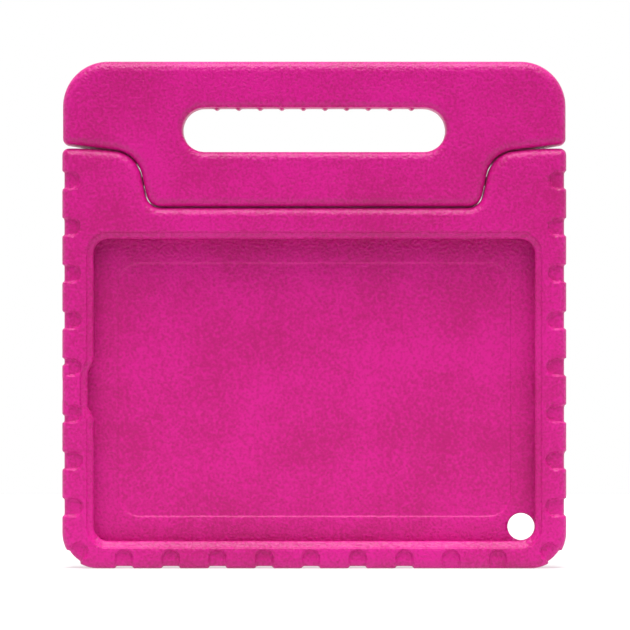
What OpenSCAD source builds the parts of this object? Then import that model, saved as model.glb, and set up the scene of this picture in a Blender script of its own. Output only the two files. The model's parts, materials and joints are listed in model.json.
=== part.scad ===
// Shock-absorbing case for a 10.2-inch class tablet, with a swing handle that doubles as a stand.
// X runs to the right, the window faces -Y, Z is up. The origin is the centre of the bottom edge.

/* [Case body] */
// Width across the frame
body_w = 274.4; // [268:0.2:290]
// Thickness of the frame and of the handle
body_d = 28; // [26:0.5:34]
// Radius of the two bottom corners
corner_r = 19.5; // [14:0.5:24]
// Radius of the long outer edges
edge_r = 5; // [3:0.5:7]

/* [Tablet pocket] */
// Length of the tablet with its fit
pocket_w = 251.6; // [250.8:0.1:253]
// Height of the tablet with its fit
pocket_h = 175.1; // [174.3:0.1:177]
// Thickness of the tablet with its fit
pocket_d = 8; // [7.6:0.1:9]
// Height of the pocket floor above the bottom edge
pocket_z = 9.6; // [8.5:0.1:11]
// Thickness of the lip in front of the tablet
lip_t = 4.5; // [3.5:0.1:6]
// How far the lip laps over the tablet at the sides
lip_lap = 5.8; // [4:0.1:8]
// Depth of the step round the window
step_depth = 2; // [1:0.1:2.5]
// Width of the step round the window
step_w = 4; // [2.5:0.1:5]

/* [Handle] */
// Height of the hinge line
hinge_z = 210.9; // [207:0.1:216]
// Height of the handle above the hinge line
handle_rise = 64.9; // [60:0.5:75]
// Radius of the handle's top corners
handle_corner_r = 24.5; // [16:0.5:28]
// Gap between the handle and the body
seam_gap = 0.6; // [0.5:0.1:1.2]
// How much further each side of that gap opens at the outer walls
seam_flare = 0.9; // [0:0.1:1.5]
// Length of the finger slot
slot_w = 143.2; // [110:0.2:160]
// Height of the finger slot
slot_h = 24; // [20:0.5:27]
// Height of the finger slot's middle above the hinge line
slot_rise = 27.7; // [27:0.1:32]
// Number of grip ridges under the bar
ridge_count = 10; // [4:1:12]
// Furthest backward swing of the handle
swing_max = 105; // [60:1:105]

/* [Edge notches] */
// Width of one notch
notch_w = 9.2; // [6:0.2:11]
// How far a notch reaches in over the face
notch_reach = 10; // [6:0.5:10]
// Depth of a notch
notch_depth = 1; // [0.6:0.1:1.5]
// Distance between notches
notch_pitch = 25.4; // [22:0.1:28]
// Notches up each side
side_notches = 8; // [3:1:8]

/* [Hinge] */
// Diameter of the hinge pin
pin_d = 5; // [4:0.1:5.5]
// Radial running clearance of the pin
pin_fit = 0.05; // [0.02:0.01:0.1]

/* [Hidden] */

foam = "#c91b82";
nylon = "#17161a";
ring_rubber = "#2b2a2e";
smooth = 64;
eps = 0.01;
half_w = body_w / 2;
half_d = body_d / 2;

// Seam between handle and body, as tangent arcs beside the hinge line, right half
seam_drop = half_d + seam_gap / 2;
seam_heel_r = 8.5;
seam_heel_x = 83.4;
seam_neck_x = 110.3;
seam_neck_r = 16.6;
seam_flank = 11.1;
seam_brow = 7.5;
seam_brow_r = 300;
seam_brow_end = 1.9;
heel_steps = 8;
neck_steps = 12;
brow_steps = 8;
seam_brow_x = seam_neck_x - (seam_brow_r - seam_neck_r) * cos(90 + seam_brow);
seam_brow_z = -(seam_brow_r - seam_neck_r) * sin(90 + seam_brow);
handle_inset = 0.4;
handle_w = body_w - 2 * handle_inset;
ear_rise = 20;
body_top = hinge_z + ear_rise;
beyond = 2 * half_w;
reach = 2 * handle_rise;

// Window, pocket and ports
window_w = pocket_w - 2 * lip_lap;
window_spare = 0.8;
window_h = pocket_h - 2 * lip_lap + window_spare;
window_r = 8;
pocket_r = 7;
pocket_mid_z = pocket_z + pocket_h / 2;
pocket_front = lip_t - half_d;
pocket_back = pocket_front + pocket_d;
port_y = pocket_front + pocket_d / 2;
wall_t = half_w - pocket_w / 2;
wall_x = half_w - wall_t / 2;
through = 2 * wall_t;
relief_out = 3.3;
relief_flat = 18.7;
relief_flare = 5.4;
charge_l = 16;
charge_h = 7;
speaker_l = 24;
speaker_h = 5;
speaker_offset = 40;
jack_d = 7;
jack_z = 166;
power_l = 14;
power_h = 6;
power_z = 32;
camera_x = 112.8;
camera_z = 22.5;
camera_front_d = 14;
camera_back_d = 24;

// Pads that close the notches beside the charging port and under the volume buttons
port_pad_l = 26;
port_pad_h = 14;
volume_pad_x = 87;
volume_pad_l = 44;
volume_pad_rise = 0.3;

// Recessed panel on the back, with grip ribs
panel_w = 196;
panel_h = 128;
panel_r = 14;
panel_depth = 2;
rib_count = 5;
rib_l = 120;
rib_h = 5;
rib_proud = 1.4;

// Notches along the edges
bottom_notches = 9;
bottom_notch_shift = -1.8;
first_side_notch = 33.4;
corner_notch = 5.5;

// Grip ridges in the finger slot
ridge_pitch = 11.8;
ridge_w = 2.7;
ridge_proud = 1.1;

// Hinge pieces, as distances from the middle of the case along X
pin_r = pin_d / 2;
key_r = pin_r + 0.5;
key_in = 62;
key_out = 88;
anchor_in = 60;
anchor_out = 91.4;
barrel_r = 5.5;
flange_r = 9;
flange_t = 3;
anchor_flanges = [60, 84];
socket_in = 96.4;
socket_out = 121;
socket_flanges = [102, 118];
chamber_in = 114;
chamber_out = 119;
chamber_r = pin_r + 1.1;
barb_in = 114.3;
barb_out = 117.3;
barb_r = pin_r + 0.6;
slit_in = 105;
slit_w = 0.9;
ring_r = 0.8;
gland_l = 2;
gland_fit = 0.05;
gland_r = pin_r + pin_fit + 2 * ring_r + gland_fit;
neck_hole_r = pin_r + 1.5;

// Points of an arc about (cx, cz) from angle a to angle b
function arc(cx, cz, r, a, b, n) =
    [for (i = [0:n]) [cx + r * cos(a + (b - a) * i / n), cz + r * sin(a + (b - a) * i / n)]];

// Seam moved by g towards the handle: the heel beside the bar, then the neck and brow over the ear
function heel(g) = arc(seam_heel_x, seam_heel_r - seam_drop, seam_heel_r - g, -90, -seam_flank, heel_steps);
function brow(g) = concat(
    arc(seam_neck_x, 0, seam_neck_r + g, 180 - seam_flank, 90 + seam_brow, neck_steps),
    [for (i = [1:brow_steps]) brow_point(i / brow_steps, g)]);
function brow_point(t, g) =
    let (a = 90 + seam_brow + (seam_brow_end - seam_brow) * t)
    let (r = seam_brow_r + g + sign(g) * seam_flare * t * t)
    [seam_brow_x + r * cos(a), seam_brow_z + r * sin(a)];
function flank_x(g) = (heel(g)[heel_steps][0] * brow(g)[0][1] - brow(g)[0][0] * heel(g)[heel_steps][1])
    / (brow(g)[0][1] - heel(g)[heel_steps][1]);

// A right half outline closed by its mirror image, and an outline with its coordinates swapped
function whole(points) = concat(points, [for (i = [len(points) - 1:-1:0]) [-points[i][0], points[i][1]]]);
function swapped(points) = [for (p = points) [p[1], p[0]]];
function sunk(points) = [for (p = points) [p[0], -p[1]]];

// Rounded rectangle standing on its lower edge, centred on x
module rounded(w, h, r_low, r_high) {
    half = w / 2;
    polygon(concat(
        arc(half - r_low, r_low, r_low, -90, 0, 12),
        arc(half - r_high, h - r_high, r_high, 0, 90, 12),
        arc(r_high - half, h - r_high, r_high, 90, 180, 12),
        arc(r_low - half, r_low, r_low, 180, 270, 12)));
}

// A drawing in X and Z becomes a plate between two depths
module plate(y0, y1) {
    translate([0, y1, 0]) rotate([90, 0, 0]) linear_extrude(y1 - y0) children();
}

// A drawing in Y and Z becomes a bar across the whole width
module crossbar() {
    rotate([90, 0, 90]) linear_extrude(2 * body_w, center = true) children();
}

// A drawing in radius and X is turned about the hinge line, backwards from straight up
module turned(from, sweep) {
    rotate([0, -90, 0])
        mirror([0, 0, 1])
            rotate([0, 0, from]) rotate_extrude(angle = sweep, $fn = smooth) children();
}

// Round bar on the hinge line between two distances from the middle
module hinge_rod(x0, x1, r) {
    translate([x0, 0, hinge_z]) rotate([0, 90, 0]) cylinder(r = r, h = x1 - x0, $fn = smooth);
}

// Bar of rounded plan, for the upright edges
module upright(w, z0, z1, r, shrink) {
    d = body_d - 2 * shrink;
    translate([0, -d / 2, z0]) linear_extrude(z1 - z0) rounded(w, d, r, r);
}

// Frame before any opening, with every face moved in by shrink
module frame_block(shrink) {
    w = body_w - 2 * shrink;
    d = body_d - 2 * shrink;
    r = edge_r - shrink;
    intersection() {
        plate(-half_d, half_d) translate([0, shrink]) rounded(w, body_top, corner_r - shrink, r);
        upright(w, 0, body_top, r, shrink);
        crossbar() translate([0, shrink]) rounded(d, 2 * body_top, r, r);
    }
}

// Flat outline of one notch that starts at an edge and points along +Y
module notch_tongue() {
    straight = notch_reach - notch_w / 2;
    translate([0, straight]) circle(d = notch_w, $fn = smooth);
    translate([-notch_w / 2, -notch_reach]) square([notch_w, notch_reach + straight]);
}

module notch_tongues() {
    for (side = [-1, 1], k = [0:side_notches - 1])
        translate([side * half_w, first_side_notch + k * notch_pitch])
            rotate(side * 90) notch_tongue();
    for (k = [0:bottom_notches - 1])
        translate([bottom_notch_shift + (k - (bottom_notches - 1) / 2) * notch_pitch, 0])
            notch_tongue();
    for (side = [-1, 1])
        translate([side * (half_w - corner_notch), corner_notch])
            rotate(side * 45) notch_tongue();
}

// Pads that fill the notches where a port or a button lies behind them
module edge_pads() {
    translate([-half_w, port_y - port_pad_h / 2, pocket_mid_z - port_pad_l / 2])
        cube([2 * notch_depth, port_pad_h, port_pad_l]);
    translate([volume_pad_x - volume_pad_l / 2, port_y - power_h / 2, volume_pad_rise])
        cube([volume_pad_l, power_h, 2 * notch_depth]);
}

// Room that the handle needs: in front at rest, behind through its swing, and at its furthest
module handle_room() {
    g = -seam_gap / 2;
    edge = brow(g);
    ends = [[beyond, edge[len(edge) - 1][1]], [beyond, reach]];
    upper = whole(concat([[flank_x(g), 0]], edge, ends));
    translate([0, 0, hinge_z]) {
        plate(-body_d, 0) polygon(whole(concat(heel(g), edge, ends)));
        turned(0, swing_max) polygon(swapped(upper));
        rotate([-swing_max, 0, 0]) plate(0, seam_drop) polygon(upper);
    }
}

// Window, its step, the pocket behind it and the relief for a home button
module tablet_room() {
    window_z = pocket_mid_z - window_h / 2;
    step_r = window_r + step_w;
    relief_z = relief_flat / 2 + relief_flare + 1;
    plate(-body_d, pocket_front + eps) {
        translate([0, window_z]) rounded(window_w, window_h, window_r, window_r);
        translate([-window_w / 2, pocket_mid_z])
            polygon([
                [1, -relief_z], [-relief_out, -relief_flat / 2],
                [-relief_out, relief_flat / 2], [1, relief_z]]);
    }
    plate(-body_d, step_depth - half_d)
        translate([0, window_z - step_w])
            rounded(window_w + 2 * step_w, window_h + 2 * step_w, step_r, step_r);
    plate(pocket_front, pocket_back)
        translate([0, pocket_z]) rounded(pocket_w, pocket_h, pocket_r, pocket_r);
}

// Slot through a side wall with round ends, its length along Z
module wall_slot(x, z, l, h) {
    span = (l - h) / 2;
    translate([x - through / 2, port_y, z])
        rotate([90, 0, 90]) linear_extrude(through) {
            for (s = [-span, span]) translate([0, s]) circle(d = h, $fn = smooth);
            square([h, 2 * span], center = true);
        }
}

module ports() {
    wall_slot(-wall_x, pocket_mid_z, charge_l, charge_h);
    for (side = [-1, 1])
        wall_slot(-wall_x, pocket_mid_z + side * speaker_offset, speaker_l, speaker_h);
    wall_slot(wall_x, power_z, power_l, power_h);
    translate([wall_x, port_y, jack_z])
        rotate([0, 90, 0]) cylinder(d = jack_d, h = through, center = true, $fn = smooth);
    translate([camera_x, pocket_back - eps, camera_z])
        rotate([-90, 0, 0])
            cylinder(
                d1 = camera_front_d, d2 = camera_back_d,
                h = half_d - pocket_back + 2 * eps, $fn = smooth);
}

// Recess of the back panel, less its ribs
module back_panel() {
    floor_y = half_d - panel_depth;
    difference() {
        plate(floor_y, body_d)
            translate([0, pocket_mid_z - panel_h / 2]) rounded(panel_w, panel_h, panel_r, panel_r);
        for (k = [0:rib_count - 1])
            plate(floor_y - eps, floor_y + rib_proud)
                translate([0, pocket_mid_z + (k - (rib_count - 1) / 2) * panel_h / (rib_count + 1)])
                    square([rib_l, rib_h], center = true);
    }
}

// Outside of an insert that the foam grips: a barrel with two flanges
module insert_form(x0, x1, flanges) {
    hinge_rod(x0, x1, barrel_r);
    for (x = flanges) hinge_rod(x, x + flange_t, flange_r);
}

module body_shell() {
    color(foam) difference() {
        union() {
            difference() {
                frame_block(0);
                plate(-body_d, body_d) notch_tongues();
            }
            frame_block(notch_depth);
            edge_pads();
        }
        handle_room();
        tablet_room();
        ports();
        back_panel();
        for (side = [0, 1])
            mirror([side, 0, 0]) {
                insert_form(socket_in, socket_out, socket_flanges);
                hinge_rod(key_out, socket_in + eps, neck_hole_r);
            }
    }
}

// Finger slot with its row of grip ridges left standing along the top
module finger_slot() {
    span = (slot_w - slot_h) / 2;
    difference() {
        plate(-body_d, body_d)
            translate([0, slot_rise]) {
                for (s = [-span, span]) translate([s, 0]) circle(d = slot_h, $fn = smooth);
                square([2 * span, slot_h], center = true);
            }
        for (k = [0:ridge_count - 1])
            translate([(k - (ridge_count - 1) / 2) * ridge_pitch, 0, slot_rise + slot_h / 2])
                rotate([90, 0, 0])
                    scale([1, 2 * ridge_proud / ridge_w, 1])
                        cylinder(d = ridge_w, h = half_d + edge_r, center = true, $fn = 12);
    }
}

module handle() {
    g = seam_gap / 2;
    top = handle_rise;
    r = handle_corner_r;
    half = handle_w / 2;
    edge = [for (p = brow(g)) if (p[0] < half) p];
    outline = whole(concat(
        heel(g), edge, [[half, edge[len(edge) - 1][1]]],
        arc(half - r, top - r, r, 0, 90, 16)));
    side = concat(
        [[0, 0], [0, -half_d]],
        arc(edge_r - half_d, edge_r - half_d, edge_r, 270, 180, 8),
        arc(edge_r - half_d, top - edge_r, edge_r, 180, 90, 8),
        arc(half_d - edge_r, top - edge_r, edge_r, 90, 0, 8),
        [[half_d, 0]]);
    color(foam) difference() {
        translate([0, 0, hinge_z]) {
            intersection() {
                plate(-half_d, half_d) polygon(outline);
                upright(handle_w, -half_d, top, edge_r, 0);
                crossbar() polygon(side);
            }
            turned(90, 90) polygon(swapped(whole(concat(sunk(heel(g)), [[flank_x(g), 0]]))));
        }
        translate([0, 0, hinge_z]) finger_slot();
        for (s = [0, 1])
            mirror([s, 0, 0]) {
                insert_form(anchor_in, anchor_out, anchor_flanges);
                hinge_rod(anchor_out - eps, socket_in, neck_hole_r);
            }
    }
}

// Hexagonal key on the hinge line, for the anchor's bore and the pin's inner end
module hinge_key(x0, x1, r) {
    translate([x0, 0, hinge_z]) rotate([0, 90, 0]) cylinder(r = r, h = x1 - x0, $fn = 6);
}

// Flanged insert moulded into the handle: it grips the pin's hexagonal key
module handle_anchor() {
    color(nylon) difference() {
        insert_form(anchor_in, anchor_out, anchor_flanges);
        hinge_key(key_in - pin_fit, anchor_out + eps, key_r + pin_fit);
    }
}

// Snap pin: key, journal, and a slit barb that locks behind the socket's bore
module hinge_pin() {
    color(nylon) difference() {
        union() {
            hinge_key(key_in, key_out, key_r);
            hinge_rod(key_out - eps, barb_out, pin_r);
            translate([barb_in, 0, hinge_z])
                rotate([0, 90, 0])
                    cylinder(r1 = barb_r, r2 = pin_r - slit_w, h = barb_out - barb_in, $fn = smooth);
        }
        translate([slit_in, -slit_w / 2, hinge_z - pin_d])
            cube([barb_out - slit_in + eps, slit_w, 2 * pin_d]);
    }
}

// Closed bearing socket moulded into an ear of the case
module ear_socket() {
    color(nylon) difference() {
        insert_form(socket_in, socket_out, socket_flanges);
        hinge_rod(socket_in - eps, chamber_in + eps, pin_r + pin_fit);
        hinge_rod(chamber_in, chamber_out, chamber_r);
        hinge_rod(socket_in - eps, socket_in + gland_l, gland_r);
    }
}

// Rubber ring in the socket's mouth, which drags on the pin and holds the handle's angle
module friction_ring() {
    color(ring_rubber)
        translate([socket_in + gland_l / 2, 0, hinge_z])
            rotate([0, 90, 0])
                rotate_extrude($fn = smooth)
                    translate([pin_r + pin_fit + ring_r, 0]) circle(r = ring_r, $fn = 24);
}

module on_left() {
    mirror([1, 0, 0]) children();
}

body_shell();
handle();
on_left() handle_anchor();  // handle_anchor_left
handle_anchor();  // handle_anchor_right
on_left() hinge_pin();  // hinge_pin_left
hinge_pin();  // hinge_pin_right
on_left() ear_socket();  // ear_socket_left
ear_socket();  // ear_socket_right
on_left() friction_ring();  // friction_ring_left
friction_ring();  // friction_ring_right
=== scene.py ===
"""Looks of a moulded foam tablet case with a swing handle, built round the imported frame."""

import json
import logging
import math
from dataclasses import dataclass, replace
from enum import Enum

import bpy
import numpy as np
import openvdb
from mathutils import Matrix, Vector


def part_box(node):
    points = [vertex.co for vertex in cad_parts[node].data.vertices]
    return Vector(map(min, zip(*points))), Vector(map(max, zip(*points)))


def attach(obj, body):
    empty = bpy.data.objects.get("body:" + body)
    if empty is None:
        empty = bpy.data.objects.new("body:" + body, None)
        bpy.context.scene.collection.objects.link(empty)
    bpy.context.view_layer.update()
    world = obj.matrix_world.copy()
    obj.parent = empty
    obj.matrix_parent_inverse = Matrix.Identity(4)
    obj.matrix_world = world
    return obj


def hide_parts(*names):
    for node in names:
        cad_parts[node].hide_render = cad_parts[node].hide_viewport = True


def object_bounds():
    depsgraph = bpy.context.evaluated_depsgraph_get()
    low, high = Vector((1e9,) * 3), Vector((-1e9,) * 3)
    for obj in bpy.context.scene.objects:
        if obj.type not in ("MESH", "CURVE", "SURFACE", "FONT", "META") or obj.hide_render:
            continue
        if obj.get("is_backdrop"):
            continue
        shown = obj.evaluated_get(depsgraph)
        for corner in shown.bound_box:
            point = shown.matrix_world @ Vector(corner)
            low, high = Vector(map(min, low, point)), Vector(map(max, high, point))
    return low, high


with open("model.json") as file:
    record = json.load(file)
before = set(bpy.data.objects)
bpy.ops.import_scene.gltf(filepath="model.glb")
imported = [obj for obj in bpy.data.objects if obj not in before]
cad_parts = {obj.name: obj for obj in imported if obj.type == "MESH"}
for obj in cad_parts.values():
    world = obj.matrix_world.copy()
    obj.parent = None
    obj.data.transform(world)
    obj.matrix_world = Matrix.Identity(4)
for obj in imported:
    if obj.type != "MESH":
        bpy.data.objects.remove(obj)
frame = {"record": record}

log = logging.getLogger("tablet_case")
MM = 0.001
# The camera stands this far right of the case's middle, in metres.
CAMERA_ASIDE = 0.0004
# How much further than half the depth the seam runs below the hinge line, and its gap, in mm.
SEAM_SPARE = 0.3
SEAM_GAP = 0.4
FULL_STEP = 0.6
# How freely flat stretches of foam become larger faces, from 0 to 1.
LEANNESS = 0.02
Points = list[tuple[float, float]]
Span = tuple[float, float]


def arc(cx: float, cz: float, r: float, start: float, stop: float, steps: int = 24) -> Points:
    """Points of an arc.

    Args:
        cx: Centre, across.
        cz: Centre, up.
        r: Radius.
        start: First angle in degrees, from the right and anticlockwise.
        stop: Last angle in degrees.
        steps: Number of chords.

    Returns:
        The points from start to stop.
    """
    angles = np.radians(np.linspace(start, stop, steps + 1))
    return [(cx + r * math.cos(a), cz + r * math.sin(a)) for a in angles]


def whole(right_half: Points) -> Points:
    """A right half outline closed by its mirror image."""
    return right_half + [(-x, z) for x, z in reversed(right_half)]


def clamp(values: np.ndarray, low: float, high: float) -> np.ndarray:
    """Values held between two limits."""
    return np.minimum(np.maximum(values, low), high)


def ease(values: np.ndarray, low: float, high: float) -> np.ndarray:
    """Smooth step from 0 at low to 1 at high; low may be the larger."""
    t = clamp((values - low) / (high - low), 0.0, 1.0)
    return t * t * (3 - 2 * t)


def meet(a: np.ndarray, b: np.ndarray, r: float | np.ndarray) -> np.ndarray:
    """What two distance fields share, their common edge rounded to radius r."""
    u, v = a + r, b + r
    return np.minimum(np.maximum(u, v), 0) + np.hypot(np.maximum(u, 0), np.maximum(v, 0)) - r


def cut(solid: np.ndarray, tool: np.ndarray, r: float) -> np.ndarray:
    """A solid less a tool, with the rim rounded to radius r."""
    return meet(solid, -tool, r)


def join(a: np.ndarray, b: np.ndarray, r: float) -> np.ndarray:
    """Two solids as one, with a fillet of radius r in the corner between them."""
    return -meet(-a, -b, r)


def outline_distance(points: Points, x: np.ndarray, z: np.ndarray) -> np.ndarray:
    """Signed distance to a closed outline, below zero inside it.

    Args:
        points: Corners of the outline in order.
        x: Places across, broadcastable with z.
        z: Places up.

    Returns:
        The distance at each place.
    """
    x, z = np.broadcast_arrays(x, z)
    nearest = np.full(x.shape, 1e9, np.float32)
    inside = np.zeros(x.shape, bool)
    for (ax, az), (bx, bz) in zip(points, points[1:] + points[:1]):
        ex, ez = bx - ax, bz - az
        px, pz = x - ax, z - az
        along = clamp((px * ex + pz * ez) / max(ex * ex + ez * ez, 1e-9), 0, 1)
        nearest = np.minimum(nearest, (px - ex * along) ** 2 + (pz - ez * along) ** 2)
        if ez:
            crossed = ((az > z) != (bz > z)) & (px < ex * pz / ez)
            inside ^= crossed
    return np.where(inside, -1, 1) * np.sqrt(nearest)


def inward(y: np.ndarray, half_d: float, edge_r: float) -> np.ndarray:
    """Share of the way from the rounded front edge to mid-depth, from 0 to 1."""
    return clamp((y + half_d - edge_r) / (half_d - edge_r), 0, 1)


def rounded_box(x: np.ndarray, z: np.ndarray, w: float, h: float, r: float) -> np.ndarray:
    """Signed distance to a rounded rectangle of width w, height h and corner radius r, about 0, 0."""
    u, v = np.abs(x) - w / 2 + r, np.abs(z) - h / 2 + r
    return np.hypot(np.maximum(u, 0), np.maximum(v, 0)) + np.minimum(np.maximum(u, v), 0) - r


@dataclass(frozen=True)
class Seam:
    """Line between handle and body in mm beside the hinge: a heel arc, a neck arc and a long brow.

    Attributes:
        drop: How far the seam runs below the hinge line.
        gap: Width of the open seam.
        heel_x: Centre of the heel arc, from the middle of the case.
        heel_r: Radius of the heel arc.
        neck_x: Centre of the neck arc, from the middle of the case.
        neck_r: Radius of the neck arc.
        flank_deg: Lean of the straight flank between heel and neck, from upright.
        brow_deg: Slope of the brow where it leaves the neck.
        brow_r: Radius of the brow.
        neck_z: Centre of the neck arc, above the hinge line.
        flare: How much further each side of the gap opens at the outer walls.
        mid_drop: How much lower the seam runs at mid-depth.
        mid_flare: How much wider it opens there at the outer walls.
        mid_heel: Change of the heel's centre across and of its radius at mid-depth.
        mid_neck: Change of the neck's centre across and up and of its radius at mid-depth.
        brow_steps: Number of chords along the brow.
        corner_steps: Number of chords round the outer corner.
    """

    drop: float
    gap: float
    heel_x: float = 83.4
    heel_r: float = 8.5
    neck_x: float = 110.3
    neck_r: float = 16.6
    flank_deg: float = 11.1
    brow_deg: float = 7.5
    brow_r: float = 300.0
    neck_z: float = 0.0
    flare: float = 0.9
    mid_drop: float = 0.9
    mid_flare: float = 0.9
    mid_heel: tuple[float, float] = (-0.2, -0.3)
    mid_neck: tuple[float, float, float] = (-0.05, -2.0, 0.7)
    brow_steps: int = 12
    corner_steps: int = 10

    def right_half(self, wall_x: float, corner_r: float, side: int) -> Points:
        """One face of the seam's right half, from the middle out to the corner at the side wall.

        Args:
            wall_x: Where the piece's side wall is.
            corner_r: Radius of the piece's outer corner at the seam.
            side: 1 for the handle's face, above the gap, and -1 for the body's face.

        Returns:
            The points in order.
        """
        g = side * self.gap / 2
        long_way, lean = self.brow_r - self.neck_r, math.radians(90 + self.brow_deg)
        brow_x = self.neck_x - long_way * math.cos(lean)
        brow_z = self.neck_z - long_way * math.sin(lean)
        end_r = self.brow_r + g + side * self.flare
        reach, corner_x = end_r + side * corner_r, wall_x - corner_r
        turn = math.degrees(math.acos((corner_x - brow_x) / reach))
        corner_z = brow_z + reach * math.sin(math.radians(turn))
        shares = np.linspace(0, 1, self.brow_steps + 1)
        brow = [
            arc(brow_x, brow_z, self.brow_r + g + side * self.flare * t * t, a, a, 0)[0]
            for t, a in zip(shares, np.linspace(90 + self.brow_deg, turn, self.brow_steps + 1))
        ]
        return (
            arc(self.heel_x, self.heel_r - self.drop, self.heel_r - g, -90, -self.flank_deg)
            + arc(self.neck_x, self.neck_z, self.neck_r + g, 180 - self.flank_deg, 90 + self.brow_deg)
            + brow
            + arc(corner_x, corner_z, corner_r, turn - 90 * (1 + side), 0, self.corner_steps)
        )

    def middle(self) -> "Seam":
        """The seam at mid-depth: a little off its front line, so that little light comes through.

        Returns:
            The shifted seam.
        """
        heel_x, heel_r = self.mid_heel
        neck_x, neck_z, neck_r = self.mid_neck
        return replace(
            self,
            drop=self.drop + self.mid_drop,
            flare=self.flare + self.mid_flare,
            heel_x=self.heel_x + heel_x,
            heel_r=self.heel_r + heel_r,
            neck_x=self.neck_x + neck_x,
            neck_z=self.neck_z + neck_z,
            neck_r=self.neck_r + neck_r,
        )


@dataclass(frozen=True)
class Insert:
    """Where a hinge insert lies on each side, in mm from the middle of the case.

    Attributes:
        ends: Inner and outer end of the barrel.
        flanges: Inner faces of the two flanges.
        neck_mid: Middle of the passage for the pin.
        neck_half: Half the passage's length.
    """

    ends: Span
    flanges: Span
    neck_mid: float
    neck_half: float


@dataclass(frozen=True)
class Hinge:
    """Hinge line and the seats that its inserts take in the foam, in mm.

    Attributes:
        z: Height of the hinge line.
        swing: Furthest backward swing in degrees.
        barrel_r: Radius of an insert's barrel.
        flange_r: Radius of its flanges.
        flange_t: Thickness of a flange.
        neck_r: Radius of the passage for the pin.
        seat_fit: Clearance round an insert.
        neck_rim: Rounding of the passage's rim.
        seat_rim: Rounding of a seat's rim.
    """

    z: float
    swing: float
    barrel_r: float = 5.5
    flange_r: float = 9.0
    flange_t: float = 3.0
    neck_r: float = 4.0
    seat_fit: float = 0.25
    neck_rim: float = 0.6
    seat_rim: float = 0.05

    def hollow(self, solid: np.ndarray, x: np.ndarray, r: np.ndarray, insert: Insert) -> np.ndarray:
        """A foam piece less the room for its inserts and the passages for the pins.

        Args:
            solid: The foam piece.
            x: Distance across from the middle.
            r: Distance from the hinge line.
            insert: Where the insert lies.

        Returns:
            The hollowed piece.
        """
        fit, side = self.seat_fit, np.abs(x)
        parts = [(*insert.ends, self.barrel_r)]
        parts += [(f, f + self.flange_t, self.flange_r) for f in insert.flanges]
        seats = np.minimum.reduce([
            np.maximum(np.abs(side - (a + b) / 2) - (b - a) / 2 - fit, r - radius - fit)
            for a, b, radius in parts
        ])
        neck = np.maximum(r - self.neck_r, np.abs(side - insert.neck_mid) - insert.neck_half)
        return cut(cut(solid, neck, self.neck_rim), seats, self.seat_rim)


class Mould:
    """A block of space in which a foam moulding is described as a distance field and skinned as a mesh."""

    def __init__(self, low: Vector, high: Vector, step: float) -> None:
        """Lays out the block.

        Args:
            low: Lowest corner of the piece in mm.
            high: Highest corner of the piece in mm.
            step: Distance between samples in mm.
        """
        self.step = step
        self.low = np.array(low) - 3 * step
        counts = np.ceil((np.array(high) + 3 * step - self.low) / step).astype(int) + 1
        axes = [(self.low[i] + step * np.arange(counts[i])).astype(np.float32) for i in range(3)]
        shapes = [[-1 if i == k else 1 for i in range(3)] for k in range(3)]
        self.x, self.y, self.z = (axis.reshape(shape) for axis, shape in zip(axes, shapes))

    def lifted(self, plan: np.ndarray, height: np.ndarray) -> np.ndarray:
        """A field drawn in X and Z, read at another height for each place.

        Args:
            plan: Field of shape (x, 1, z).
            height: Height to read it at, of shape (1, y, z).

        Returns:
            Field of shape (x, y, z).
        """
        flat = plan[:, 0, :]
        row = clamp((height[0] - self.low[2]) / self.step, 0, flat.shape[1] - 1.001)
        base = row.astype(int)
        share = (row - base).astype(np.float32)
        return flat[:, base] * (1 - share) + flat[:, base + 1] * share

    def read(self, values: np.ndarray, places: np.ndarray) -> np.ndarray:
        """A field's value at any places, blended between the samples.

        Args:
            values: The field.
            places: Places in mm, one in each row.

        Returns:
            The value at each place.
        """
        spot = clamp((places - self.low) / self.step, 0, np.array(values.shape) - 1.001)
        base = spot.astype(int)
        t = spot - base
        total = np.zeros(len(places))
        for corner in np.ndindex(2, 2, 2):
            weight = np.prod(np.where(np.array(corner), t, 1 - t), axis=1)
            i, j, k = (base + np.array(corner)).T
            total += weight * values[i, j, k]
        return total

    def skin(self, name: str, values: np.ndarray, leanness: float) -> bpy.types.Object:
        """Meshes the zero surface of a field, with the field's own slopes as normals.

        Args:
            name: Name of the new piece.
            values: Distance field in mm.
            leanness: How freely flat stretches become larger faces, from 0 to 1.

        Returns:
            The new object, in metres.
        """
        grid = openvdb.FloatGrid(2 * self.step)
        band = clamp(values, -2 * self.step, 2 * self.step)
        grid.copyFromArray(np.ascontiguousarray(band, dtype=np.float32))
        spots, triangles, quads = grid.convertToPolygons(0.0, leanness)
        places = spots * self.step + self.low
        faces = [tuple(int(i) for i in f) for f in (*triangles, *quads)]
        mesh = bpy.data.meshes.new(name)
        mesh.from_pydata((places * MM).tolist(), [], faces)
        mesh.validate()
        mesh.shade_smooth()
        nudge = 0.5 * self.step * np.eye(3)
        rises = [self.read(values, places + n) - self.read(values, places - n) for n in nudge]
        slopes = np.stack(rises, axis=1)
        slopes /= np.maximum(np.linalg.norm(slopes, axis=1, keepdims=True), 1e-9)
        mesh.normals_split_custom_set_from_vertices(slopes.tolist())
        piece = bpy.data.objects.new(name, mesh)
        bpy.context.scene.collection.objects.link(piece)
        return piece


class WallHole(Enum):
    """Holes in the side walls: side, height from the pocket's middle, length and width in mm."""

    CHARGING_PORT = (-1, 0.0, 16.0, 7.0)
    LOWER_SPEAKER = (-1, -40.0, 24.0, 5.0)
    UPPER_SPEAKER = (-1, 40.0, 24.0, 5.0)
    POWER_BUTTON = (1, -65.15, 14.0, 6.0)
    HEADPHONES = (1, 68.85, 7.0, 7.0)


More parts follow.
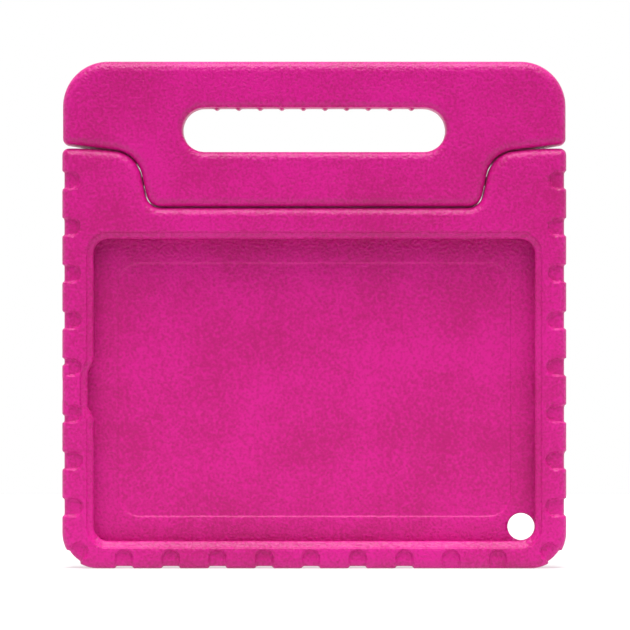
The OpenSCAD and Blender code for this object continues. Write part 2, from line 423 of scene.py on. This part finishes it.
@dataclass
class CaseBody:
    """One-piece foam body: frame, lip, back wall, top bar and the two ears. Lengths are in mm.

    Attributes:
        ear_rise: How far the mould reaches above the hinge line.
        rest_relief: How far the foam keeps clear of the handle laid back.
        step_slope: How steeply the ledge round the window falls, in mm for each mm.
        notch_fall: How much deeper a notch is at its inner end.
        notch_fall_from: How far in from the side a notch starts to deepen.
        notch_fall_to: How far in it has its full depth.
        notch_rim_out: How far outside its outline a notch's lip starts.
        notch_rim_in: How far inside its outline the lip ends.
        relief_reach: How far the home button's relief goes beyond the window's edge.
        relief_inside: How far the relief's outline overlaps the window.
        relief_slant: How much wider the relief is there.
        overlap: How far a cutting shape passes the face that it opens.
        socket: Where the ear sockets lie.
        side_extra: How much further the lowest side notch reaches than a bottom one.
        side_taper: How much less each side notch reaches than the one below it.
    """

    seam: Seam
    hinge: Hinge
    width: float
    depth: float
    step: float
    ear_rise: float = 20.0
    corner_r: float = 19.5
    edge_r: float = 5.0
    ear_corner_r: float = 3.5
    rest_relief: float = 0.5
    pocket_w: float = 251.6
    pocket_h: float = 175.1
    pocket_z: float = 9.6
    pocket_r: float = 7.0
    lip_t: float = 4.5
    pocket_d: float = 8.0
    window_w: float = 240.0
    window_h: float = 164.3
    window_r: float = 8.0
    step_w: float = 3.6
    step_depth: float = 0.9
    step_slope: float = 0.55
    notch_w: float = 9.2
    notch_reach: float = 10.0
    notch_depth: float = 1.2
    notch_fall: float = 0.6
    notch_fall_from: float = 1.0
    notch_fall_to: float = 8.0
    notch_rim_out: float = 0.5
    notch_rim_in: float = 0.35
    notch_pitch: float = 25.4
    side_notch_z: float = 33.4
    side_notches: int = 8
    side_extra: float = 1.3
    side_taper: float = 0.25
    bottom_notches: int = 9
    bottom_shift: float = -1.8
    corner_notch: float = 5.5
    bed_w: float = 214.0
    bed_h: float = 138.0
    bed_r: float = 12.0
    bed_depth: float = 0.8
    port_pad_w: float = 26.0
    port_pad_t: float = 14.0
    volume_x: float = 87.0
    volume_w: float = 44.0
    volume_t: float = 10.0
    pad_reach: float = 3.2
    pad_blend: float = 1.2
    relief_reach: float = 3.3
    relief_half: float = 9.3
    relief_foot: float = 15.2
    relief_inside: float = 6.0
    relief_slant: float = 0.6
    relief_fillet: float = 1.5
    camera_x: float = 112.8
    camera_z: float = 22.5
    camera_r: float = 7.0
    camera_flare: float = 5.0
    panel_w: float = 196.0
    panel_h: float = 128.0
    panel_r: float = 14.0
    panel_depth: float = 2.0
    rib_w: float = 120.0
    rib_h: float = 5.0
    rib_rise: float = 1.3
    rib_side: float = 0.8
    rib_count: int = 5
    ledge_rim: float = 0.5
    lip_rim: float = 0.9
    pocket_fillet: float = 0.8
    pocket_rim: float = 0.5
    bed_rim: float = 0.6
    hole_rim: float = 0.9
    panel_rim: float = 1.0
    overlap: float = 2.0
    socket: Insert = Insert(ends=(96.4, 121.0), flanges=(102.0, 118.0), neck_mid=92.0, neck_half=6.0)

    def __post_init__(self) -> None:
        """Lays out the mould and the places that several features share."""
        half = self.width / 2
        self.half_w, self.half_d = half, self.depth / 2
        low = Vector((-half, -self.half_d, 0))
        high = Vector((half, self.half_d, self.hinge.z + self.ear_rise))
        self.mould = Mould(low, high, self.step)
        self.x, self.y, self.z = self.mould.x, self.mould.y, self.mould.z
        self.pocket_mid = self.pocket_z + self.pocket_h / 2
        self.pocket_front = self.lip_t - self.half_d
        self.pocket_back = self.pocket_front + self.pocket_d
        self.port_y = self.pocket_front + self.pocket_d / 2
        self.frame_plan = outline_distance(self.outline(None), self.x, self.z)

    def outline(self, seam: Seam | None) -> Points:
        """Outline of the body under a seam, or of the bare frame where none is given.

        Args:
            seam: The seam over the body.

        Returns:
            The outline's points.
        """
        half, r = self.half_w, self.corner_r
        foot = arc(half - r, r, r, -90, 0)
        if seam is None:
            return whole(foot + [(half, self.hinge.z + 3 * self.ear_rise)])
        edge = seam.right_half(half, self.ear_corner_r, -1)
        return whole(foot + [(x, z + self.hinge.z) for x, z in reversed(edge)])

    def block(self) -> np.ndarray:
        """Frame, bar and ears with rounded edges, clear of the handle through its whole swing.

        Returns:
            Signed distance, below zero in the foam.
        """
        rise = self.z - self.hinge.z
        limit = math.radians(self.hinge.swing)
        sine, cosine = math.sin(limit), math.cos(limit)
        front_plan, plan = (
            outline_distance(self.outline(seam), self.x, self.z) for seam in (self.seam, self.seam.middle())
        )
        ahead, behind = sine * self.y + cosine * rise, cosine * self.y - sine * rise
        share = inward(self.y, self.half_d, self.edge_r)
        rest = front_plan * (1 - share) + plan * share
        swinging = self.mould.lifted(plan, np.hypot(self.y, rise) + self.hinge.z)
        seat = self.seam.drop + self.rest_relief - behind
        swung = np.minimum(self.mould.lifted(plan, ahead + self.hinge.z), seat)
        front = np.maximum(rest, np.minimum(np.minimum(swung, behind), ahead))
        rear = np.where(np.arctan2(self.y, rise) < limit, swinging, swung)
        solid = np.where(self.y > 0, rear, front)
        return meet(np.maximum(solid, self.frame_plan), np.abs(self.y) - self.half_d, self.edge_r)

    def tongues(self) -> np.ndarray:
        """Notches along the sides, the bottom and the two corners.

        Returns:
            Signed distance to the nearest notch's outline.
        """
        reach = self.notch_reach
        places = [
            (
                s * self.half_w, self.side_notch_z + k * self.notch_pitch, s * 90,
                reach + self.side_extra - self.side_taper * k,
            )
            for s in (-1, 1)
            for k in range(self.side_notches)
        ]
        first = -(self.bottom_notches - 1) / 2
        places += [
            (self.bottom_shift + (first + k) * self.notch_pitch, 0.0, 0, reach)
            for k in range(self.bottom_notches)
        ]
        corner = self.corner_notch
        places += [(s * (self.half_w - corner), corner, s * 45, reach) for s in (-1, 1)]
        nearest = np.float32(1e9)
        r = self.notch_w / 2
        for px, pz, turn, reach in places:
            c, s = math.cos(math.radians(turn)), math.sin(math.radians(turn))
            across = c * (self.x - px) + s * (self.z - pz)
            along = -s * (self.x - px) + c * (self.z - pz)
            nearest = np.minimum(nearest, np.hypot(across, np.maximum(along - (reach - r), 0)) - r)
        return nearest

    def pads(self) -> np.ndarray:
        """Pads that close the notches beside the charging port and under the volume buttons.

        Returns:
            Share of a notch's depth that is left, from 0 to 1.
        """
        depth_wise = np.abs(self.y - self.port_y)
        port = np.abs(self.z - self.pocket_mid) - self.port_pad_w / 2
        port = np.maximum(port, depth_wise - self.port_pad_t / 2)
        port = np.maximum(port, self.x + self.half_w - self.pad_reach)
        volume = np.abs(self.x - self.volume_x) - self.volume_w / 2
        volume = np.maximum(volume, depth_wise - self.volume_t / 2)
        volume = np.maximum(volume, self.z - self.pad_reach)
        return ease(np.minimum(port, volume), 0, self.pad_blend)

    def window(self) -> np.ndarray:
        """Window with the relief for a home button.

        Returns:
            Signed distance to its outline.
        """
        up = self.z - self.pocket_mid
        opening = rounded_box(self.x, up, self.window_w, self.window_h, self.window_r)
        edge, foot = -self.window_w / 2, -self.relief_foot
        lower = [
            (edge + self.relief_inside, foot - self.relief_slant),
            (edge, foot),
            (edge - self.relief_reach, -self.relief_half),
        ]
        relief = outline_distance(lower + [(a, -b) for a, b in reversed(lower)], self.x, up)
        return join(opening, relief, self.relief_fillet)

    def wall_slot(self, hole: WallHole) -> np.ndarray:
        """Slot with round ends through one side wall.

        Args:
            hole: Which one.

        Returns:
            Signed distance to it.
        """
        side, offset, length, width = hole.value
        along = np.maximum(np.abs(self.z - self.pocket_mid - offset) - (length - width) / 2, 0)
        slot = np.hypot(along, self.y - self.port_y) - width / 2
        return np.maximum(slot, self.window_w / 2 - side * self.x)

    def ports(self) -> list[np.ndarray]:
        """Holes for a plug, a sound, a button and the camera.

        Returns:
            Signed distance to each.
        """
        holes = [self.wall_slot(hole) for hole in WallHole]
        wall = self.half_d - self.pocket_back
        flare = (self.y - self.pocket_back) * (self.camera_flare / wall)
        cone = np.hypot(self.x - self.camera_x, self.z - self.camera_z) - self.camera_r - flare
        return holes + [np.maximum(cone, self.pocket_back - self.overlap - self.y)]

    def back_panel(self) -> np.ndarray:
        """Shallow recess on the back, with its grip ribs left standing.

        Returns:
            Signed distance to the recess.
        """
        up = self.z - self.pocket_mid
        recess = rounded_box(self.x, up, self.panel_w, self.panel_h, self.panel_r)
        pitch, first = self.panel_h / (self.rib_count + 1), -(self.rib_count - 1) / 2
        ribs = np.minimum.reduce([
            rounded_box(self.x, up - (first + k) * pitch, self.rib_w, self.rib_h, self.rib_h / 2)
            for k in range(self.rib_count)
        ])
        floor = self.half_d - self.panel_depth + self.rib_rise * ease(ribs, self.rib_side, -self.rib_side)
        return np.maximum(recess, floor - self.y)

    def build(self) -> bpy.types.Object:
        """Makes the body as one closed mesh.

        Returns:
            The new piece.
        """
        x, y, z = self.x, self.y, self.z
        up = z - self.pocket_mid
        solid = self.block()
        # Notches, deeper at their inner ends.
        fall = self.notch_fall * ease(-self.frame_plan, self.notch_fall_from, self.notch_fall_to)
        notches = ease(self.tongues(), self.notch_rim_out, -self.notch_rim_in) * self.pads()
        solid = solid + (self.notch_depth + fall) * notches
        # Sloped ledge round the window, then the window through the lip.
        window = self.window()
        inside = clamp(self.step_w - window, 0, 2 * self.step_w)
        ledge_depth = self.step_depth + self.step_slope * inside
        ledge = np.maximum(window - self.step_w, y + self.half_d - ledge_depth)
        solid = cut(solid, ledge, self.ledge_rim)
        solid = cut(solid, np.maximum(window, y - self.pocket_front - self.overlap / 2), self.lip_rim)
        # Pocket for the tablet, with a shallow bed in its back wall.
        pocket = rounded_box(x, up, self.pocket_w, self.pocket_h, self.pocket_r)
        pocket = meet(pocket, np.abs(y - self.port_y) - self.pocket_d / 2, self.pocket_fillet)
        solid = cut(solid, pocket, self.pocket_rim)
        bed = rounded_box(x, up, self.bed_w, self.bed_h, self.bed_r)
        solid = cut(solid, np.maximum(bed, y - self.pocket_back - self.bed_depth), self.bed_rim)
        for hole in self.ports():
            solid = cut(solid, hole, self.hole_rim)
        solid = cut(solid, self.back_panel(), self.panel_rim)
        solid = self.hinge.hollow(solid, x, np.hypot(y, z - self.hinge.z), self.socket)
        return self.mould.skin("foam_body", solid, LEANNESS)


@dataclass
class SwingHandle:
    """One-piece foam handle with its finger slot and grip ridges. Lengths are in mm.

    Attributes:
        rise: Height of the handle above the hinge line.
        shoulder_r: Outer corner at the seam.
        slot_rise: Height of the finger slot's middle above the hinge line.
        heel_rise: Height above the hinge line up to which the rear edge is rounder.
        ridge_fillet: Fillet between a ridge and the slot's wall.
        anchor: Where the handle anchors lie.
    """

    seam: Seam
    hinge: Hinge
    width: float
    depth: float
    rise: float
    step: float
    corner_r: float = 24.5
    edge_r: float = 5.0
    shoulder_r: float = 3.0
    slot_w: float = 143.2
    slot_h: float = 24.0
    slot_rise: float = 27.7
    slot_edge_r: float = 3.8
    ridge_pitch: float = 11.8
    ridge_count: int = 10
    ridge_r: float = 1.4
    ridge_sink: float = 0.3
    ridge_reach: float = 8.0
    ridge_fillet: float = 0.7
    heel_rise: float = 12.0
    anchor: Insert = Insert(ends=(60.0, 91.4), flanges=(60.0, 84.0), neck_mid=94.0, neck_half=3.5)

    def __post_init__(self) -> None:
        """Lays out the mould."""
        self.half_w, self.half_d = self.width / 2, self.depth / 2
        low = Vector((-self.half_w, -self.half_d, self.hinge.z - self.half_d))
        high = Vector((self.half_w, self.half_d, self.hinge.z + self.rise))
        self.mould = Mould(low, high, self.step)
        self.x, self.y = self.mould.x, self.mould.y
        self.up = self.mould.z - self.hinge.z

    def outline(self, seam: Seam) -> Points:
        """Outline above a seam."""
        r, half = self.corner_r, self.half_w
        return whole(seam.right_half(half, self.shoulder_r, 1) + arc(half - r, self.rise - r, r, 0, 90))

    def ridges(self) -> np.ndarray:
        """Row of grip ridges along the top of the finger slot.

        Returns:
            Signed distance to the nearest ridge.
        """
        top = self.slot_rise + self.slot_h / 2
        first = -(self.ridge_count - 1) / 2
        nearest = np.float32(1e9)
        for k in range(self.ridge_count):
            aside = self.x - (first + k) * self.ridge_pitch
            along = np.maximum(np.abs(self.y) - self.ridge_reach, 0)
            away = np.sqrt(aside**2 + along**2 + (self.up - top - self.ridge_sink) ** 2)
            nearest = np.minimum(nearest, away - self.ridge_r)
        return nearest

    def build(self) -> bpy.types.Object:
        """Makes the handle as one closed mesh.

        Returns:
            The new piece.
        """
        x, y, up = self.x, self.y, self.up
        front_plan, middle_plan = (
            outline_distance(self.outline(seam), x, up) for seam in (self.seam, self.seam.middle())
        )
        share = inward(y, self.half_d, self.edge_r)
        plan = front_plan * (1 - share) + middle_plan * share
        heel_r = self.edge_r + (self.half_d - self.edge_r) * ease(up, self.heel_rise, 0)
        solid = meet(plan, np.abs(y) - self.half_d, np.where(y > 0, heel_r, self.edge_r))
        span = (self.slot_w - self.slot_h) / 2
        slot = np.hypot(np.maximum(np.abs(x) - span, 0), up - self.slot_rise) - self.slot_h / 2
        solid = cut(solid, slot, self.slot_edge_r)
        solid = join(solid, self.ridges(), self.ridge_fillet)
        solid = self.hinge.hollow(solid, x, np.hypot(y, up), self.anchor)
        return self.mould.skin("foam_handle", solid, LEANNESS)


def linear(code: str) -> tuple[float, float, float, float]:
    """An sRGB hex colour as linear RGBA.

    Args:
        code: The colour, such as #FFFFFF.

    Returns:
        Red, green, blue and full opacity.
    """
    parts = [int(code[i : i + 2], 16) / 255 for i in (1, 3, 5)]
    red, green, blue = (c / 12.92 if c <= 0.04045 else ((c + 0.055) / 1.055) ** 2.4 for c in parts)
    return red, green, blue, 1.0


def add(
    tree: bpy.types.NodeTree, kind: str, sockets: dict[str | int, object], **settings: object
) -> bpy.types.Node:
    """Adds a node.

    Args:
        tree: Tree that takes the node.
        kind: Blender's name for the node's type.
        sockets: Values, output sockets or nodes for the node's inputs; a node gives its first output.
        settings: The node's own settings.

    Returns:
        The node.
    """
    made = tree.nodes.new(kind)
    for name, value in settings.items():
        setattr(made, name, value)
    for name, value in sockets.items():
        if isinstance(value, bpy.types.Node):
            value = value.outputs[0]
        if isinstance(value, bpy.types.NodeSocket):
            tree.links.new(value, made.inputs[name])
        else:
            made.inputs[name].default_value = value
    return made


def fresh(name: str) -> tuple[bpy.types.Material, bpy.types.NodeTree]:
    """A material with an empty node tree.

    Args:
        name: Name of the material.

    Returns:
        The material and its tree.
    """
    material = bpy.data.materials.new(name)
    material.use_nodes = True
    material.node_tree.nodes.clear()
    return material, material.node_tree


def per_metre(millimetres: float) -> float:
    """Texture scale at which one cell of a pattern is as wide as given."""
    return 1 / (millimetres * MM)


@dataclass(frozen=True)
class MouldedEva:
    """EVA foam pressed in a leather-grained mould: matte and dense, with a soft bloom at its edges.

    Attributes:
        pale: Colour of the grain's high parts.
        deep: Colour of its pits.
        grain_mm: Width of a cell of the grain.
        pebble_mm: Width of the pebbles on the cells.
        relief_mm: Depth of the grain.
        drift_mm: Width of a patch of paler or deeper foam.
        cell_share: Part that the cells take in the grain.
        grain_share: Part that the grain takes in the tone.
        shift: Taken off the tone to bring it onto the ramp.
        stops: Where the ramp's two colours stand.
    """

    pale: str = "#D4088B"
    deep: str = "#B8046E"
    roughness: float = 0.43
    grain_mm: float = 1.6
    pebble_mm: float = 0.7
    relief_mm: float = 0.4
    drift_mm: float = 45.0
    cell_share: float = 0.6
    grain_share: float = 0.9
    shift: float = 0.65
    stops: tuple[float, float] = (0.3, 0.75)
    specular: float = 0.38
    sheen: float = 0.07
    sheen_roughness: float = 0.35

    def make(self) -> bpy.types.Material:
        """Makes the material.

        Returns:
            The new material.
        """
        material, tree = fresh("moulded_eva_foam")
        place = add(tree, "ShaderNodeTexCoord", {}).outputs["Object"]
        # Leather grain: shallow cells about 1.6 mm across with finer pebbles on them.
        grain = {"Vector": place, "Scale": per_metre(self.grain_mm)}
        cells = add(tree, "ShaderNodeTexVoronoi", grain, feature="SMOOTH_F1").outputs["Distance"]
        fine = {"Vector": place, "Scale": per_metre(self.pebble_mm * 2), "Detail": 2.0}
        pebbles = add(tree, "ShaderNodeTexNoise", fine).outputs["Fac"]
        pits = {0: cells, 1: self.cell_share, 2: pebbles}
        relief = add(tree, "ShaderNodeMath", pits, operation="MULTIPLY_ADD")
        # Slow drift of tone from the foaming, with the grain's pits a little deeper.
        drift = {"Vector": place, "Scale": per_metre(self.drift_mm), "Detail": 3.0}
        clouds = add(tree, "ShaderNodeTexNoise", drift).outputs["Fac"]
        mottle = {0: relief, 1: self.grain_share, 2: clouds}
        tone = add(tree, "ShaderNodeMath", mottle, operation="MULTIPLY_ADD")
        share = add(tree, "ShaderNodeMath", {0: tone, 1: self.shift}, operation="SUBTRACT")
        ramp = add(tree, "ShaderNodeValToRGB", {"Fac": share.outputs[0]})
        for stop, position, code in zip(ramp.color_ramp.elements, self.stops, (self.deep, self.pale)):
            stop.position = position
            stop.color = linear(code)
        bump = add(tree, "ShaderNodeBump", {"Height": relief, "Distance": self.relief_mm * MM})
        shader = add(tree, "ShaderNodeBsdfPrincipled", {
            "Base Color": ramp.outputs["Color"],
            "Roughness": self.roughness,
            "Normal": bump.outputs["Normal"],
            "Specular IOR Level": self.specular,
            "Sheen Weight": self.sheen,
            "Sheen Roughness": self.sheen_roughness,
        })
        add(tree, "ShaderNodeOutputMaterial", {"Surface": shader.outputs["BSDF"]})
        return material


@dataclass(frozen=True)
class MouldedNylon:
    """Injection-moulded black nylon: satin, with a faint spark-eroded texture."""

    colour: str = "#17171A"
    roughness: float = 0.42
    grit_mm: float = 0.35
    relief_mm: float = 0.02
    smoother: float = 0.08
    rougher: float = 0.1
    ior: float = 1.53

    def make(self) -> bpy.types.Material:
        """Makes the material.

        Returns:
            The new material.
        """
        material, tree = fresh("moulded_black_nylon")
        place = add(tree, "ShaderNodeTexCoord", {}).outputs["Object"]
        grit = {"Vector": place, "Scale": per_metre(self.grit_mm * 2), "Detail": 3.0}
        rough = add(tree, "ShaderNodeTexNoise", grit).outputs["Fac"]
        # The texture breaks the highlight up without dulling it.
        bump = add(tree, "ShaderNodeBump", {"Height": rough, "Distance": self.relief_mm * MM})
        limits = {"To Min": self.roughness - self.smoother, "To Max": self.roughness + self.rougher}
        gloss = add(tree, "ShaderNodeMapRange", {"Value": rough, **limits})
        shader = add(tree, "ShaderNodeBsdfPrincipled", {
            "Base Color": linear(self.colour),
            "Roughness": gloss.outputs["Result"],
            "IOR": self.ior,
            "Normal": bump.outputs["Normal"],
        })
        add(tree, "ShaderNodeOutputMaterial", {"Surface": shader.outputs["BSDF"]})
        return material


@dataclass(frozen=True)
class NitrileRubber:
    """Moulded nitrile ring: dull, dark grey, slightly dusty."""

    dark: str = "#1B1B1B"
    dusty: str = "#2A2928"
    roughness: float = 0.78
    bloom_mm: float = 2.5
    relief_mm: float = 0.02

    def make(self) -> bpy.types.Material:
        """Makes the material.

        Returns:
            The new material.
        """
        material, tree = fresh("moulded_nitrile_rubber")
        place = add(tree, "ShaderNodeTexCoord", {}).outputs["Object"]
        # Dust lies on the rubber in patches, so the black is never even.
        cloud = {"Vector": place, "Scale": per_metre(self.bloom_mm), "Detail": 4.0}
        bloom = add(tree, "ShaderNodeTexNoise", cloud)
        ramp = add(tree, "ShaderNodeValToRGB", {"Fac": bloom.outputs["Fac"]})
        for stop, code in zip(ramp.color_ramp.elements, (self.dark, self.dusty)):
            stop.color = linear(code)
        height = {"Height": bloom.outputs["Fac"], "Distance": self.relief_mm * MM}
        bump = add(tree, "ShaderNodeBump", height)
        shader = add(tree, "ShaderNodeBsdfPrincipled", {
            "Base Color": ramp.outputs["Color"],
            "Roughness": self.roughness,
            "Normal": bump.outputs["Normal"],
        })
        add(tree, "ShaderNodeOutputMaterial", {"Surface": shader.outputs["BSDF"]})
        return material


@dataclass(frozen=True)
class OpalTable:
    """Opal acrylic of a photographer's light table: white, matt, and faintly lit from below."""

    colour: str = "#A9A9A9"
    glow: float = 0.55
    roughness: float = 0.9
    specular: float = 0.1

    def make(self) -> bpy.types.Material:
        """Makes the material.

        Returns:
            The new material.
        """
        material, tree = fresh("lit_opal_acrylic")
        shader = add(tree, "ShaderNodeBsdfPrincipled", {
            "Base Color": linear(self.colour),
            "Roughness": self.roughness,
            "Specular IOR Level": self.specular,
            "Emission Color": (1, 1, 1, 1),
            "Emission Strength": self.glow,
        })
        add(tree, "ShaderNodeOutputMaterial", {"Surface": shader.outputs["BSDF"]})
        return material


class HingeFinish(Enum):
    """Finish of each family of hinge pieces that the frame carries."""

    HANDLE_ANCHOR = ("handle_anchor", "nylon")
    HINGE_PIN = ("hinge_pin", "nylon")
    EAR_SOCKET = ("ear_socket", "nylon")
    FRICTION_RING = ("friction_ring", "rubber")


@dataclass
class Studio:
    """White floor, soft light from above and in front, and the camera. Lengths are in metres.

    Attributes:
        centre: Middle of the case, which the camera faces.
        glow_from: Backward part of a direction where the surround is at its dimmest.
        glow_to: Backward part of a direction where it is at its brightest.
        front_glow: Strength of the surround in front of the case.
        back_glow: Its strength behind the case.
        softbox_spot: How far a softbox stands aside, behind the case's middle and above the floor.
    """

    centre: Vector
    distance: float = 3.0
    lens: float = 314.0
    overhead: float = 3.2
    overhead_lean: float = 16.0
    overhead_spread: float = 36.0
    key: float = 0.75
    key_lean: float = 42.0
    key_spread: float = 30.0
    side_power: float = 5.2
    glow_from: float = -0.5
    glow_to: float = 0.4
    front_glow: float = 0.05
    back_glow: float = 1.1
    softbox_size: float = 1.2
    softbox_spot: tuple[float, float, float] = (1.7, -1.6, 0.7)
    floor_side: float = 1.6
    floor_front: float = -0.8
    floor_back: float = 1.2

    def build(self) -> None:
        """Makes the floor, the world, the lights and the camera."""
        self.floor()
        self.world()
        self.sky("overhead", self.overhead, self.overhead_lean, self.overhead_spread)
        self.sky("key", self.key, self.key_lean, self.key_spread)
        for side in (-1, 1):
            self.softbox(side)
        self.camera()

    def floor(self) -> None:
        """Lays a wide white floor under the case."""
        mesh = bpy.data.meshes.new("floor")
        side, front, back = self.floor_side, self.floor_front, self.floor_back
        corners = [(-side, front, 0), (side, front, 0), (side, back, 0), (-side, back, 0)]
        mesh.from_pydata(corners, [], [(0, 1, 2, 3)])
        floor = bpy.data.objects.new("floor", mesh)
        bpy.context.scene.collection.objects.link(floor)
        mesh.materials.append(OpalTable().make())
        floor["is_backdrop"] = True

    def world(self) -> None:
        """Makes a surround that is white to look at and lights the case from above and behind."""
        world = bpy.data.worlds.new("white_surround")
        world.use_nodes = True
        tree = world.node_tree
        tree.nodes.clear()
        way = add(tree, "ShaderNodeTexCoord", {}).outputs["Generated"]
        axes = add(tree, "ShaderNodeSeparateXYZ", {"Vector": way})
        depth = {"Value": axes.outputs["Y"], "From Min": self.glow_from, "From Max": self.glow_to}
        glows = {"To Min": self.front_glow, "To Max": self.back_glow}
        behind = add(tree, "ShaderNodeMapRange", {**depth, **glows})
        ray = add(tree, "ShaderNodeLightPath", {})
        strength = add(tree, "ShaderNodeMix", {0: ray.outputs["Is Camera Ray"], 2: behind, 3: 1.0})
        glow = add(tree, "ShaderNodeBackground", {"Color": (1, 1, 1, 1), "Strength": strength})
        add(tree, "ShaderNodeOutputWorld", {"Surface": glow})
        bpy.context.scene.world = world

    def sky(self, name: str, strength: float, lean_deg: float, spread_deg: float) -> None:
        """Hangs a broad light above.

        Args:
            name: Name of the light.
            strength: Its strength.
            lean_deg: How far it stands forward from straight overhead.
            spread_deg: How wide it looks from the case.
        """
        light = bpy.data.lights.new(name, "SUN")
        light.energy = strength
        light.angle = math.radians(spread_deg)
        lamp = bpy.data.objects.new(name, light)
        lamp.rotation_euler = (math.radians(lean_deg), 0, 0)
        bpy.context.scene.collection.objects.link(lamp)

    def softbox(self, side: int) -> None:
        """Stands a softbox in front and to one side.

        Args:
            side: 1 for the right and -1 for the left.
        """
        light = bpy.data.lights.new("softbox", "AREA")
        light.shape = "SQUARE"
        light.size = self.softbox_size
        light.energy = self.side_power
        lamp = bpy.data.objects.new("softbox", light)
        across, ahead, above = self.softbox_spot
        lamp.location = (side * across, ahead, above)
        lamp.rotation_euler = (self.centre - lamp.location).to_track_quat("-Z", "Y").to_euler()
        bpy.context.scene.collection.objects.link(lamp)

    def camera(self) -> None:
        """Sets the camera square to the front, level with the middle of the case."""
        lens = bpy.data.cameras.new("camera")
        lens.lens = self.lens
        lens.sensor_width = 36.0
        lens.clip_end = 100.0
        camera = bpy.data.objects.new("camera", lens)
        camera.location = (self.centre.x, -self.distance, self.centre.z)
        camera.rotation_euler = (math.radians(90), 0, 0)
        bpy.context.scene.collection.objects.link(camera)
        bpy.context.scene.camera = camera


def main() -> None:
    """Builds the case piece by piece round the frame."""
    logging.basicConfig(level=logging.INFO, format="%(name)s: %(message)s")
    cad_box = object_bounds()
    low, high = (Vector(c) / MM for c in cad_box)
    bpy.context.scene.view_settings.view_transform = "Standard"
    centre = Vector((CAMERA_ASIDE, 0.0, (low.z + high.z) / 2 * MM))
    Studio(centre).build()

    joint = next(j for j in frame["record"]["behaviour"]["joints"] if j["name"] == "handle_swing")
    hinge = Hinge(z=joint["pos_m"][2] / MM, swing=max(joint["range_deg"]))
    seam = Seam(drop=(high.y - low.y) / 2 + SEAM_SPARE, gap=SEAM_GAP)
    step = FULL_STEP
    foam = MouldedEva().make()

    body = CaseBody(seam, hinge, high.x - low.x, high.y - low.y, step)
    shell = body.build()
    shell.data.materials.append(foam)
    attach(shell, "case")
    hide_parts("body_shell")
    log.info("%s: %d faces", shell.name, len(shell.data.polygons))

    handle_low, handle_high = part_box("handle")
    width = (handle_high[0] - handle_low[0]) / MM
    handle = SwingHandle(seam, hinge, width, high.y - low.y, handle_high[2] / MM - hinge.z, step)
    grip = handle.build()
    grip.data.materials.append(foam)
    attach(grip, "swing_handle")
    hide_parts("handle")
    log.info("%s: %d faces", grip.name, len(grip.data.polygons))

    finishes = {"nylon": MouldedNylon().make(), "rubber": NitrileRubber().make()}
    for family in HingeFinish:
        prefix, finish = family.value
        for side in ("left", "right"):
            piece = bpy.data.objects[f"{prefix}_{side}"]
            piece.material_slots[0].material = finishes[finish]
            log.info("%s: %s", piece.name, finishes[finish].name)


if __name__ == "__main__":
    main()
